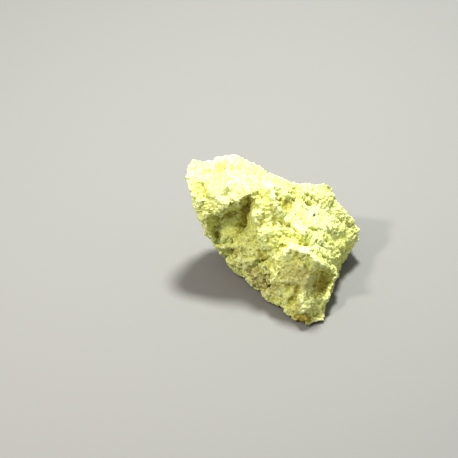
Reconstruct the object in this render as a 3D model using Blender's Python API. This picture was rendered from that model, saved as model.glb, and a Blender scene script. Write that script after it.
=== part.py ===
"""Native sulfur specimen: one broken block of massive native sulfur, resting on its worn underside.

The block's corners are given as they show from the front, from 42 degrees above the ground: how far right,
how high in that view, and how far back. Triangles are spread over the front corners and over the hidden ones,
split until they are small, and then bent by ridges, hollows, chips and lumps. Lengths are in millimetres here,
and the finished mesh is in metres, with +Z up and the front towards -Y.
"""

import itertools
import math

import bmesh
import bpy
import numpy as np
from mathutils import Vector
from mathutils.geometry import delaunay_2d_cdt

MM = 0.001
VIEW_TILT = math.radians(42)
SIN = math.sin(VIEW_TILT)
COS = math.cos(VIEW_TILT)

# The middle of the block's plan, which becomes the origin
MIDDLE_RIGHT = 0.7
MIDDLE_BACK = 27.7

# The longest edge of a finished triangle
EDGE_LENGTH = 2.6

# How far each kind of break moves the surface, and how far apart its waves or chips are
WARP_DEPTH = 0.8
WARP_SIZE = 13.0
RIPPLE_DEPTH = 0.5
RIPPLE_SIZE = 5.5
CHIP_DEPTH = 0.75
CHIP_SIZE = 7.5
LUMP_DEPTH = 0.5
LUMP_SIZE = 4.0

# The underside is left flat below this height
FLAT_HEIGHT = 1.6

SULFUR_COLOUR = (0.83, 0.84, 0.40, 1.0)


def seen(right, rise, back):
    """A corner from where it shows and how far back it is."""
    return (right, back, (rise - back * SIN) / COS)


def lifted(right, rise, height):
    """A corner from where it shows and how high it is above the ground."""
    return (right, (rise - height * COS) / SIN, height)


# The corners along the outline that the front view shows, from the top left corner clockwise
OUTLINE = {
    "slab_back_left": seen(-32.4, 66.6, 46.0),
    "slab_notch": seen(-26.4, 66.0, 46.4),
    "slab_crest_left": seen(-20.8, 66.5, 48.0),
    "slab_crest": seen(-14.4, 68.1, 49.0),
    "slab_crest_right": seen(-10.6, 66.4, 48.0),
    "slab_shoulder": seen(-6.0, 64.3, 45.0),
    "saddle_left": seen(-0.8, 60.8, 41.0),
    "saddle": seen(4.8, 57.6, 39.4),
    "saddle_right": seen(11.2, 56.0, 41.0),
    "hump_left": seen(16.0, 57.2, 43.6),
    "hump_right": seen(21.6, 56.6, 46.2),
    "hump_corner": seen(25.4, 55.0, 46.6),
    "nick": seen(24.6, 53.4, 45.4),
    "shelf_corner": seen(27.0, 51.2, 44.4),
    "shelf_foot": seen(27.4, 47.6, 42.8),
    "right_shoulder": seen(32.0, 43.2, 42.4),
    "right_end_top": seen(35.5, 38.6, 41.0),
    "right_end": seen(36.2, 33.4, 39.4),
    "right_wall": seen(32.6, 28.8, 37.0),
    "right_foot_back": lifted(29.2, 24.4, 1.6),
    "right_foot_middle": lifted(26.7, 18.7, 1.2),
    "right_foot": lifted(24.4, 13.0, 0.9),
    "right_foot_front": lifted(20.9, 8.4, 1.3),
    "heel": lifted(20.0, 2.7, 1.6),
    "heel_notch": lifted(15.8, 2.3, 1.8),
    "toe_tip": lifted(13.4, 0.2, 1.2),
    "toe": lifted(9.2, 1.7, 1.0),
    "toe_left": lifted(4.5, 4.5, 1.4),
    "toe_notch": lifted(4.6, 6.4, 2.4),
    "left_foot_front": lifted(2.4, 7.8, 1.4),
    "left_foot": lifted(-2.4, 10.4, 1.0),
    "left_foot_step": lifted(-4.4, 13.6, 0.9),
    "left_foot_middle": lifted(-10.2, 17.0, 1.2),
    "left_foot_back": lifted(-14.4, 20.6, 1.0),
    "left_corner_foot": lifted(-18.1, 23.2, 1.8),
    "left_corner": seen(-18.5, 26.6, 33.4),
    "left_knee": seen(-22.4, 30.0, 33.0),
    "left_wall": seen(-26.2, 35.6, 33.0),
    "left_nose": seen(-29.0, 43.6, 29.4),
    "left_brow": seen(-31.5, 48.6, 31.6),
    "left_hollow": seen(-32.9, 53.4, 33.6),
    "slab_side": seen(-33.9, 57.6, 37.0),
    "slab_left": seen(-34.4, 62.6, 42.0),
}

# The corners inside that outline on the side that shows
FRONT = {
    "slab_middle_left": seen(-28.0, 58.6, 37.4),
    "slab_middle": seen(-21.0, 61.2, 40.0),
    "slab_middle_right": seen(-11.0, 61.6, 40.6),
    "slab_lip_left": seen(-27.0, 49.4, 31.0),
    "slab_lip": seen(-22.8, 53.0, 31.0),
    "slab_lip_middle": seen(-18.0, 55.0, 32.4),
    "slab_lip_right": seen(-12.8, 56.2, 32.8),
    "slab_corner": seen(-4.0, 56.0, 32.8),
    "rim_left": seen(-27.3, 41.8, 28.2),
    "rim_step": seen(-21.8, 44.5, 26.8),
    "rim_middle": seen(-18.2, 47.6, 27.2),
    "rim_right": seen(-13.2, 50.0, 28.0),
    "rim_top": seen(-9.2, 52.0, 28.2),
    "rim_side_top": seen(-6.6, 48.8, 27.0),
    "rim_side": seen(-7.2, 42.6, 24.6),
    "rim_side_foot": seen(-8.8, 35.4, 23.6),
    "rim_foot": seen(-14.0, 33.6, 28.8),
    "rim_foot_left": seen(-19.0, 33.2, 31.0),
    "rim_left_foot": seen(-23.4, 32.4, 32.0),
    "rim_left_side": seen(-25.4, 38.2, 29.8),
    "brow_left": seen(-20.8, 43.4, 28.4),
    "brow": seen(-16.4, 46.2, 28.8),
    "brow_right": seen(-11.0, 49.0, 29.2),
    "recess_top_left": seen(-21.4, 42.4, 32.8),
    "recess_top": seen(-16.2, 44.6, 34.2),
    "recess_top_right": seen(-10.0, 48.0, 33.6),
    "recess_right": seen(-10.2, 38.4, 32.2),
    "recess_left": seen(-22.2, 36.6, 32.6),
    "patch_top_left": seen(-20.2, 41.2, 33.0),
    "patch_top_right": seen(-14.4, 41.4, 32.8),
    "patch_foot_right": seen(-14.6, 35.6, 29.6),
    "patch_foot_left": seen(-19.4, 35.4, 30.2),
    "band_top": seen(-3.6, 52.0, 29.6),
    "band_upper": seen(-4.4, 46.6, 26.0),
    "band": seen(-4.2, 40.0, 21.6),
    "band_lower": seen(-3.6, 32.8, 17.8),
    "band_foot": seen(0.0, 26.8, 15.2),
    "ridge_top": seen(-0.8, 54.0, 30.6),
    "ridge_upper": seen(1.2, 49.0, 26.8),
    "ridge_middle": seen(4.6, 42.8, 24.0),
    "ridge_lower": seen(7.8, 39.2, 22.2),
    "ridge_foot": seen(12.0, 37.2, 20.0),
    "hollow_top": seen(3.2, 51.2, 29.8),
    "hollow_middle": seen(6.4, 47.4, 28.5),
    "hollow_foot": seen(10.2, 42.8, 25.4),
    "slope_top": seen(11.2, 50.4, 35.2),
    "slope_middle": seen(17.2, 47.2, 35.2),
    "slope_hump": seen(20.4, 52.4, 40.8),
    "slope_shelf": seen(24.8, 44.2, 38.4),
    "slope_lower": seen(18.6, 38.6, 26.6),
    "slope_right": seen(29.6, 39.8, 38.4),
    "slope_hollow": seen(25.4, 32.8, 29.0),
    "slope_hollow_right": seen(30.0, 33.0, 32.4),
    "terrace": seen(19.6, 31.6, 19.4),
    "terrace_left": seen(12.6, 33.2, 16.2),
    "terrace_step": seen(4.4, 33.4, 17.2),
    "end_slope": seen(26.2, 27.0, 22.8),
    "end_slope_right": seen(29.0, 28.2, 29.8),
    "edge_lobe": seen(4.8, 28.0, 12.4),
    "edge_left": seen(7.4, 30.4, 12.6),
    "edge_middle": seen(13.4, 28.8, 10.2),
    "edge_right": seen(16.8, 26.4, 9.0),
    "edge_lower": seen(20.0, 24.2, 11.0),
    "edge_corner": seen(23.6, 22.2, 16.0),
    "end_corner": seen(25.2, 20.2, 17.4),
    "end_edge": seen(23.8, 15.8, 13.4),
    "end_edge_lower": seen(21.6, 10.6, 8.4),
    "end_edge_foot": seen(18.8, 6.4, 4.2),
    "front_hollow_top": seen(20.4, 20.6, 15.2),
    "front_hollow": seen(20.0, 16.4, 11.4),
    "front_hollow_foot": seen(18.8, 12.6, 8.8),
    "front_bulge": seen(6.0, 22.4, 9.8),
    "front_bulge_right": seen(14.8, 20.4, 7.4),
    "front_waist": seen(12.8, 15.2, 5.4),
    "toe_top": seen(11.6, 11.6, 3.0),
    "toe_top_right": seen(16.6, 10.4, 3.4),
    "toe_face": seen(12.0, 5.6, -0.6),
    "toe_corner": seen(6.4, 8.4, 5.0),
    "front_edge_upper": seen(1.4, 20.2, 11.0),
    "front_edge_lower": seen(4.4, 13.6, 8.4),
    "flank_front": seen(0.2, 13.8, 12.4),
    "flank_lower": seen(-4.4, 18.2, 18.2),
    "flank_middle": seen(-8.8, 21.8, 20.8),
    "flank_upper": seen(-12.8, 25.6, 23.6),
    "flank_back": seen(-16.6, 28.6, 27.6),
    "flank_ledge_left": seen(-19.4, 30.6, 28.8),
    "flank_ledge": seen(-11.0, 30.6, 25.4),
    "flank_ledge_right": seen(-5.4, 26.6, 19.6),
}

# The corners on the hidden back, and those of the flat underside
HIDDEN = {
    "back_slab_left": lifted(-31.0, 63.8, 43.6),
    "back_top_left": lifted(-18.0, 66.1, 43.0),
    "back_top": lifted(2.0, 58.6, 37.0),
    "back_hump": lifted(23.2, 54.7, 28.6),
    "back_top_right": lifted(18.0, 54.5, 27.0),
    "back_left": lifted(-25.0, 52.0, 25.0),
    "back_middle_left": lifted(-8.0, 53.9, 23.0),
    "back_middle": lifted(9.0, 51.2, 18.0),
    "back_right": lifted(24.0, 45.8, 13.0),
    "back_end": lifted(30.5, 38.0, 7.5),
    "back_left_foot": lifted(-22.4, 34.7, 8.0),
    "base_left": lifted(-13.2, 22.4, 0.0),
    "base_left_middle": lifted(-3.0, 14.4, 0.0),
    "base_left_front": lifted(5.8, 6.3, 0.0),
    "base_front": lifted(12.6, 2.1, 0.0),
    "base_heel": lifted(18.0, 4.8, 0.0),
    "base_right": lifted(22.6, 14.4, 0.0),
    "base_right_back": lifted(26.0, 22.1, 0.0),
    "base_back_right": lifted(24.6, 32.1, 0.0),
    "base_back": lifted(8.0, 34.8, 0.0),
    "base_back_left": lifted(-11.4, 31.4, 0.0),
    "heel_back_right": lifted(28.6, 33.2, 3.2),
    "heel_back": lifted(8.6, 40.4, 4.0),
    "heel_back_left": lifted(-16.6, 34.4, 4.0),
}

# The creases that stay edges of the front, each a chain of corners
FRONT_CREASES = (
    ("slab_lip_left", "slab_lip", "slab_lip_middle", "slab_lip_right", "slab_corner"),
    ("left_nose", "rim_left", "rim_step", "rim_middle", "rim_right", "rim_top", "rim_side_top", "rim_side"),
    ("rim_side", "rim_side_foot", "rim_foot", "rim_foot_left", "rim_left_foot", "rim_left_side", "rim_left"),
    ("patch_top_left", "patch_top_right", "patch_foot_right", "patch_foot_left", "patch_top_left"),
    ("brow_left", "brow", "brow_right"),
    ("recess_left", "recess_top_left", "recess_top", "recess_top_right", "recess_right"),
    ("slab_corner", "ridge_top", "ridge_upper", "ridge_middle", "ridge_lower", "ridge_foot"),
    ("hollow_top", "hollow_middle", "hollow_foot"),
    ("edge_lobe", "edge_left", "edge_middle", "edge_right", "edge_lower", "edge_corner", "end_corner"),
    ("end_corner", "end_edge", "end_edge_lower", "end_edge_foot", "heel"),
    ("front_hollow_top", "front_hollow", "front_hollow_foot"),
    ("edge_lobe", "front_edge_upper", "front_edge_lower", "toe_corner", "toe_left"),
)

HIDDEN_CREASES = (
    ("base_left", "base_left_middle", "base_left_front", "base_front", "base_heel", "base_right"),
    ("base_right", "base_right_back", "base_back_right", "base_back", "base_back_left", "base_left"),
    ("back_left", "back_middle_left", "back_middle", "back_right", "back_end"),
)

# Ridges on the front: the way they run as (right, rise), their half width and their height
RIDGES = {
    "recess_rim": (((-28.6, 42.0), (-25.0, 43.2), (-21.6, 44.9), (-18.2, 48.0), (-13.2, 50.3)), 1.8, 0.4),
    "recess_left_rim": (((-26.8, 40.6), (-25.4, 37.6), (-23.6, 33.4)), 1.2, 0.8),
    "main_ridge": (((-0.8, 54.0), (1.0, 49.2), (4.6, 42.8), (7.8, 39.2), (12.0, 37.2)), 1.5, 1.0),
    "terrace_lip": (((4.8, 38.0), (9.0, 36.2), (13.6, 35.8)), 1.1, 0.7),
    "lobe": (((8.0, 32.6), (5.4, 30.2), (4.8, 27.8)), 1.3, 0.9),
    "lower_edge": (((8.0, 31.0), (13.6, 29.4), (17.0, 27.0), (20.2, 24.8), (24.0, 22.6)), 1.3, 0.8),
    "end_rim": (((25.0, 20.4), (23.8, 15.8), (21.4, 10.8), (18.8, 6.6)), 1.2, 0.7),
    "flank_ledge": (((-22.4, 31.2), (-17.0, 31.4), (-12.0, 31.6)), 1.2, 0.9),
    "flank_knob": (((-17.4, 25.2), (-14.2, 24.0)), 1.5, 0.9),
    "flank_knob_lower": (((-10.6, 20.0), (-7.2, 19.2)), 1.5, 1.0),
    "foot_knob": (((-3.0, 12.8), (-0.6, 12.0)), 1.5, 0.9),
    "front_fold": (((1.2, 17.4), (5.2, 18.4), (9.4, 17.6)), 1.4, 0.5),
}

# Hollows on the front: right, rise, half width, half height, turn in degrees, depth
HOLLOWS = {
    "slab_pit": (-20.0, 63.0, 2.2, 3.8, -30, 1.3),
    "slab_dimple": (-25.6, 61.4, 2.0, 1.4, 0, 0.9),
    "lip_hollow": (-17.6, 52.4, 2.4, 1.4, 20, 0.8),
    "rim_end_hollow": (-6.2, 51.6, 2.2, 1.4, -15, 0.4),
    "recess_deep_top": (-16.6, 44.4, 3.8, 2.2, 25, 0.8),
    "recess_deep_right": (-10.6, 44.0, 2.6, 5.4, -8, 0.5),
    "recess_trench": (-22.4, 36.8, 2.2, 5.0, 6, 0.4),
    "ridge_hollow_top": (2.8, 51.2, 2.2, 3.2, 25, 1.4),
    "ridge_hollow": (7.0, 47.6, 4.6, 3.2, -30, 1.6),
    "pit_one": (8.2, 51.6, 2.2, 1.4, -10, 0.6),
    "pit_two": (11.4, 49.6, 2.8, 1.3, -15, 0.6),
    "pit_three": (15.0, 48.2, 2.8, 1.2, -10, 0.6),
    "pit_four": (17.6, 47.6, 1.5, 1.1, 0, 0.4),
    "slope_groove": (16.8, 38.8, 3.2, 1.2, -8, 1.0),
    "long_hollow": (12.4, 33.0, 4.4, 1.5, -14, 1.7),
    "end_hollow": (27.6, 33.8, 4.4, 2.4, -8, 0.7),
    "end_hollow_deep": (25.2, 31.6, 1.9, 1.9, 0, 0.3),
    "shelf_hollow": (20.6, 33.2, 1.5, 2.2, 0, 0.8),
    "lobe_hollow": (4.4, 31.6, 1.8, 1.8, 0, 1.0),
    "band_hollow": (-2.6, 43.6, 2.8, 1.3, 0, 1.0),
    "band_pit": (1.2, 40.2, 1.4, 1.2, 0, 0.7),
    "band_low_pit": (-2.8, 28.8, 2.0, 1.6, 0, 1.3),
    "flank_pocket": (-17.2, 29.2, 2.1, 1.4, 0, 1.4),
    "flank_slot": (-11.4, 29.6, 1.2, 2.8, 0, 1.0),
    "flank_pit_one": (-4.4, 24.4, 2.8, 1.6, 10, 1.5),
    "flank_pit_two": (-9.2, 23.2, 1.6, 1.6, 0, 1.2),
    "flank_pit_three": (-1.4, 19.4, 1.7, 3.0, -15, 1.5),
    "front_hollow": (20.4, 17.0, 4.2, 6.4, -26, 1.4),
    "front_groove": (8.0, 11.6, 1.6, 5.6, -32, 1.8),
    "front_slot": (6.0, 15.2, 1.3, 2.3, 0, 1.2),
    "waist_hollow": (14.6, 22.6, 2.6, 3.0, 20, 0.7),
    "toe_hollow": (12.6, 4.0, 3.4, 1.6, 0, 1.0),
}

# Calmer ground on the front: right, rise, half width, half height, turn in degrees, and how calm it is,
# which is less than 0 where the ground is rougher
CALM = {
    "slab": (-18.0, 60.0, 18.0, 8.5, -6, 0.5),
    "recess_patch": (-17.4, 38.4, 4.4, 4.4, 0, 0.8),
    "ridge_head": (-3.0, 54.0, 4.0, 3.4, 0, 0.7),
    "ridge_dish": (6.4, 48.6, 4.6, 4.2, -20, 0.5),
    "flank": (-8.0, 22.5, 17.0, 8.0, -42, -1.3),
    "front": (12.0, 19.4, 10.0, 6.0, -15, 0.6),
    "band": (-5.2, 41.0, 3.6, 9.0, -8, -0.6),
    "hump": (21.0, 54.0, 6.0, 4.0, -10, 0.6),
    "slab_side": (-30.5, 56.0, 4.5, 5.5, 0, 0.6),
    "rim": (-18.5, 47.0, 9.0, 2.4, 25, -0.8),
    "slope": (17.5, 45.0, 11.0, 8.0, -35, 0.4),
    "end": (27.8, 33.4, 5.4, 4.4, 0, 0.7),
}


def mesh_from_corners():
    """The closed cage: triangles over the front corners and, turned over, over the hidden ones."""
    cage = bmesh.new()
    made = {name: cage.verts.new(place) for name, place in {**OUTLINE, **FRONT, **HIDDEN}.items()}
    outline = list(OUTLINE)
    for inside, creases, front in ((FRONT, FRONT_CREASES, True), (HIDDEN, HIDDEN_CREASES, False)):
        names = outline + list(inside)
        flat = [Vector((made[name].co.x, made[name].co.y * SIN + made[name].co.z * COS)) for name in names]
        edges = [(i, (i + 1) % len(outline)) for i in range(len(outline))]
        for crease in creases:
            numbers = [names.index(name) for name in crease]
            edges += list(zip(numbers[:-1], numbers[1:]))
        faces = delaunay_2d_cdt(flat, edges, [], 1, 1e-6)[2]
        for face in faces:
            corners = [made[names[number]] for number in face]
            cage.faces.new(corners if front else corners[::-1])
    return cage


def split_long_edges(cage, longest):
    """Halves every edge over the given length until none is left."""
    for _ in range(12):
        long_edges = [edge for edge in cage.edges if edge.calc_length() > longest]
        if not long_edges:
            break
        bmesh.ops.subdivide_edges(cage, edges=long_edges, cuts=1)
        wide = [face for face in cage.faces if len(face.verts) > 3]
        bmesh.ops.triangulate(cage, faces=wide, quad_method="SHORT_EDGE", ngon_method="BEAUTY")


def scatter(cells, seed):
    """A number from 0 to 1 for each whole-number cell, the same each time."""
    cells = cells.astype(np.int64).astype(np.uint32)
    mixed = cells[..., 0] * np.uint32(374761393) + cells[..., 1] * np.uint32(668265263)
    mixed = mixed + cells[..., 2] * np.uint32(2246822519) + np.uint32(seed * 3266489917 & 0xFFFFFFFF)
    for shift, factor in ((15, 2246822519), (13, 3266489917)):
        mixed = (mixed ^ (mixed >> np.uint32(shift))) * np.uint32(factor)
    return (mixed >> np.uint32(8)) / float(1 << 24)


def waves(points, size, seed):
    """Smooth random heights from about -1 to 1, with hills about the given size apart."""
    scaled = points / size + seed * 7.31
    cell = np.floor(scaled)
    part = scaled - cell
    ease = part**3 * (part * (part * 6 - 15) + 10)
    total = np.zeros(len(points))
    for corner in itertools.product((0, 1), repeat=3):
        weight = np.prod(np.where(np.array(corner) == 1, ease, 1 - ease), axis=1)
        slope = np.stack([scatter(cell + corner, seed * 3 + axis) for axis in range(3)], axis=1) * 2 - 1
        total += weight * np.sum(slope * (part - corner), axis=1)
    return total * 1.6


def chips(points, size, seed):
    """Flat tilted chips: each point takes the height of the plane through its nearest random cell."""
    scaled = points / size + seed * 5.17
    cell = np.floor(scaled)
    nearest = np.full(len(points), np.inf)
    height = np.zeros(len(points))
    for corner in itertools.product((-1, 0, 1), repeat=3):
        there = cell + corner
        spot = there + np.stack([scatter(there, seed * 5 + axis) for axis in range(3)], axis=1)
        away = scaled - spot
        distance = np.sum(away**2, axis=1)
        tilt = np.stack([scatter(there, seed * 5 + 10 + axis) for axis in range(3)], axis=1) * 2 - 1
        plane = np.sum(away * tilt, axis=1) + 0.5 * (scatter(there, seed * 5 + 20) - 0.5)
        closer = distance < nearest
        nearest = np.where(closer, distance, nearest)
        height = np.where(closer, plane, height)
    return np.clip(height, -1, 1)


def smooth_step(value, start, end):
    """0 below start, 1 above end, and a smooth rise between."""
    part = np.clip((value - start) / (end - start), 0, 1)
    return part * part * (3 - 2 * part)


def ridge_height(right, rise, line, half_width, height):
    """A rounded ridge along a line in the front view."""
    nearest = np.full(len(right), np.inf)
    for (start_right, start_rise), (end_right, end_rise) in zip(line[:-1], line[1:]):
        run = np.array((end_right - start_right, end_rise - start_rise))
        along = ((right - start_right) * run[0] + (rise - start_rise) * run[1]) / (run @ run)
        along = np.clip(along, 0, 1)
        gap = np.hypot(right - start_right - along * run[0], rise - start_rise - along * run[1])
        nearest = np.minimum(nearest, gap)
    return height * (1 - smooth_step(nearest, 0, half_width * 1.5))


def hollow_depth(right, rise, middle_right, middle_rise, half_width, half_height, turn, depth):
    """A dished hollow in the front view, deepest in its middle, with a steep side."""
    angle = math.radians(turn)
    across = (right - middle_right) * math.cos(angle) + (rise - middle_rise) * math.sin(angle)
    up = (rise - middle_rise) * math.cos(angle) - (right - middle_right) * math.sin(angle)
    reach = np.hypot(across / half_width, up / half_height)
    return depth * (1 - smooth_step(reach, 0.25, 1.15))


def normals_of(points, triangles):
    """Each point's outward direction, softened over its neighbours."""
    corners = points[triangles]
    facing = np.cross(corners[:, 1] - corners[:, 0], corners[:, 2] - corners[:, 0])
    for _ in range(3):
        at_points = np.zeros_like(points)
        for side in range(3):
            np.add.at(at_points, triangles[:, side], facing)
        at_points /= np.linalg.norm(at_points, axis=1, keepdims=True)
        area = np.linalg.norm(facing, axis=1, keepdims=True)
        facing = at_points[triangles].mean(axis=1)
        facing *= area / np.linalg.norm(facing, axis=1, keepdims=True)
    return at_points


def calm_ground(points, outward):
    """How calm the ground is at each point: the sum of the calm patches, which reach over the outline."""
    rise = points[:, 1] * SIN + points[:, 2] * COS
    facing = smooth_step(outward[:, 2] * SIN - outward[:, 1] * COS, -0.6, 0.0)
    return facing * sum(hollow_depth(points[:, 0], rise, *spot) for spot in CALM.values())


def broken(points, outward):
    """The surface with its ridges, hollows, waves, chips and lumps, and the flat underside kept."""
    right = points[:, 0]
    rise = points[:, 1] * SIN + points[:, 2] * COS
    facing = smooth_step(outward[:, 2] * SIN - outward[:, 1] * COS, 0.0, 0.3)
    height = np.zeros(len(points))
    for line, half_width, top in RIDGES.values():
        height += facing * ridge_height(right, rise, line, half_width, top)
    for spot in HOLLOWS.values():
        height -= facing * hollow_depth(right, rise, *spot)
    lively = 1 - calm_ground(points, outward)
    rough = CHIP_DEPTH * chips(points, CHIP_SIZE, 4) + LUMP_DEPTH * waves(points, LUMP_SIZE, 7)
    warp = np.stack([waves(points, WARP_SIZE, 11 + axis) for axis in range(3)], axis=1) * WARP_DEPTH
    ripple = np.stack([waves(points, RIPPLE_SIZE, 21 + axis) for axis in range(3)], axis=1) * RIPPLE_DEPTH
    moved = warp + ripple * lively[:, None] + outward * (height + rough * lively)[:, None]
    clear = smooth_step(points[:, 2], 0.0, FLAT_HEIGHT)
    moved *= clear[:, None]
    result = points + moved
    result[:, 2] = np.maximum(result[:, 2], 0.0)
    return result


def sulfur_material():
    material = bpy.data.materials.new("native_sulfur")
    material.use_nodes = True
    shader = material.node_tree.nodes["Principled BSDF"]
    shader.inputs["Base Color"].default_value = SULFUR_COLOUR
    shader.inputs["Roughness"].default_value = 0.6
    shader.inputs["Metallic"].default_value = 0.0
    shader.inputs["IOR"].default_value = 2.0
    material.diffuse_color = SULFUR_COLOUR
    return material


def build_sulfur_block():
    cage = mesh_from_corners()
    split_long_edges(cage, EDGE_LENGTH)
    cage.verts.index_update()
    points = np.array([vertex.co[:] for vertex in cage.verts])
    triangles = np.array([[vertex.index for vertex in face.verts] for face in cage.faces])
    cage.free()
    points = broken(points, normals_of(points, triangles))
    points -= (MIDDLE_RIGHT, MIDDLE_BACK, 0.0)
    mesh = bpy.data.meshes.new("sulfur_block")
    mesh.from_pydata((points * MM).tolist(), [], triangles.tolist())
    mesh.update()
    mesh.materials.append(sulfur_material())
    block = bpy.data.objects.new("sulfur_block", mesh)
    bpy.context.scene.collection.objects.link(block)


for old in list(bpy.data.objects):
    bpy.data.objects.remove(old, do_unlink=True)

build_sulfur_block()
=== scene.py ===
"""The look of a native sulfur specimen: one finely granular block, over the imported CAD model."""

import itertools
import math

import bmesh
import bpy
import numpy as np
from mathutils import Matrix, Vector
from mathutils.geometry import delaunay_2d_cdt


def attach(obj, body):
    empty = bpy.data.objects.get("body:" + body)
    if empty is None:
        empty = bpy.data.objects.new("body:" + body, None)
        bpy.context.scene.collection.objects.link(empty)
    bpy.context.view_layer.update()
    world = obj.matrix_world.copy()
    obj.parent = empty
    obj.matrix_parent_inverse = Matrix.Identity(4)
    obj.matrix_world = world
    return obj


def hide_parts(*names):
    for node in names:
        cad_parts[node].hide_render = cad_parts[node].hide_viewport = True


bl_info = {
    "name": "Native sulfur specimen",
    "version": (1, 0, 0),
    "blender": (4, 5, 0),
    "location": "View3D > Sidebar > Sulfur",
    "description": "Builds a broken block of massive native sulfur",
    "category": "Add Mesh",
}

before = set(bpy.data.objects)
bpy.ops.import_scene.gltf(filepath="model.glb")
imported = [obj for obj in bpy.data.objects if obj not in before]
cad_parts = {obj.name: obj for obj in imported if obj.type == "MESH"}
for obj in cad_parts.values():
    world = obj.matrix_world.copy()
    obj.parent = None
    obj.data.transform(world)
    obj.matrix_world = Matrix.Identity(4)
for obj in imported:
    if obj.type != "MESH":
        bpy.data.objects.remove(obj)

MM = 0.001
VIEW_TILT = math.radians(42)
SIN = math.sin(VIEW_TILT)
COS = math.cos(VIEW_TILT)

# The middle of the block's plan, which is the origin, in the block's own millimetres
MIDDLE_RIGHT = 0.7
MIDDLE_BACK = 27.7


def seen(right, rise, back):
    """A corner from where it shows in the view from 42 degrees above the ground, and how far back it is."""
    return (right, back, (rise - back * SIN) / COS)


def lifted(right, rise, height):
    """A corner from where it shows and how high it is above the ground."""
    return (right, (rise - height * COS) / SIN, height)


# The corners along the outline that the front view shows, from the top left corner clockwise
OUTLINE = {
    "slab_back_left": seen(-32.4, 66.6, 46.0),
    "slab_notch": seen(-26.4, 66.0, 46.4),
    "slab_crest_left": seen(-20.8, 66.5, 48.0),
    "slab_crest": seen(-14.4, 68.1, 49.0),
    "slab_crest_right": seen(-10.6, 66.4, 48.0),
    "slab_shoulder": seen(-6.0, 64.3, 45.0),
    "saddle_left": seen(-0.8, 60.8, 41.0),
    "saddle": seen(4.8, 57.6, 39.4),
    "saddle_right": seen(11.2, 56.0, 41.0),
    "hump_left": seen(16.0, 57.2, 43.6),
    "hump_right": seen(21.6, 56.6, 46.2),
    "hump_corner": seen(25.4, 55.0, 46.6),
    "nick": seen(24.6, 53.4, 45.4),
    "shelf_corner": seen(27.0, 51.2, 44.4),
    "shelf_foot": seen(27.4, 47.6, 42.8),
    "right_shoulder": seen(32.0, 43.2, 42.4),
    "right_end_top": seen(35.5, 38.6, 41.0),
    "right_end": seen(36.2, 33.4, 39.4),
    "right_wall": seen(32.6, 28.8, 37.0),
    "right_foot_back": lifted(29.2, 24.4, 1.6),
    "right_foot_middle": lifted(26.7, 18.7, 1.2),
    "right_foot": lifted(24.4, 13.0, 0.9),
    "right_foot_front": lifted(20.9, 8.4, 1.3),
    "heel": lifted(20.0, 2.7, 1.6),
    "heel_notch": lifted(15.8, 2.3, 1.8),
    "toe_tip": lifted(13.4, 0.2, 1.2),
    "toe": lifted(9.2, 1.7, 1.0),
    "toe_left": lifted(4.5, 4.5, 1.4),
    "toe_notch": lifted(4.6, 6.4, 2.4),
    "left_foot_front": lifted(2.4, 7.8, 1.4),
    "left_foot": lifted(-2.4, 10.4, 1.0),
    "left_foot_step": lifted(-4.4, 13.6, 0.9),
    "left_foot_middle": lifted(-10.2, 17.0, 1.2),
    "left_foot_back": lifted(-14.4, 20.6, 1.0),
    "left_corner_foot": lifted(-18.1, 23.2, 1.8),
    "left_corner": seen(-18.5, 26.6, 33.4),
    "left_knee": seen(-22.4, 30.0, 33.0),
    "left_wall": seen(-26.2, 35.6, 33.0),
    "left_nose": seen(-29.0, 43.6, 29.4),
    "left_brow": seen(-31.5, 48.6, 31.6),
    "left_hollow": seen(-32.9, 53.4, 33.6),
    "slab_side": seen(-33.9, 57.6, 37.0),
    "slab_left": seen(-34.4, 62.6, 42.0),
}

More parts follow.
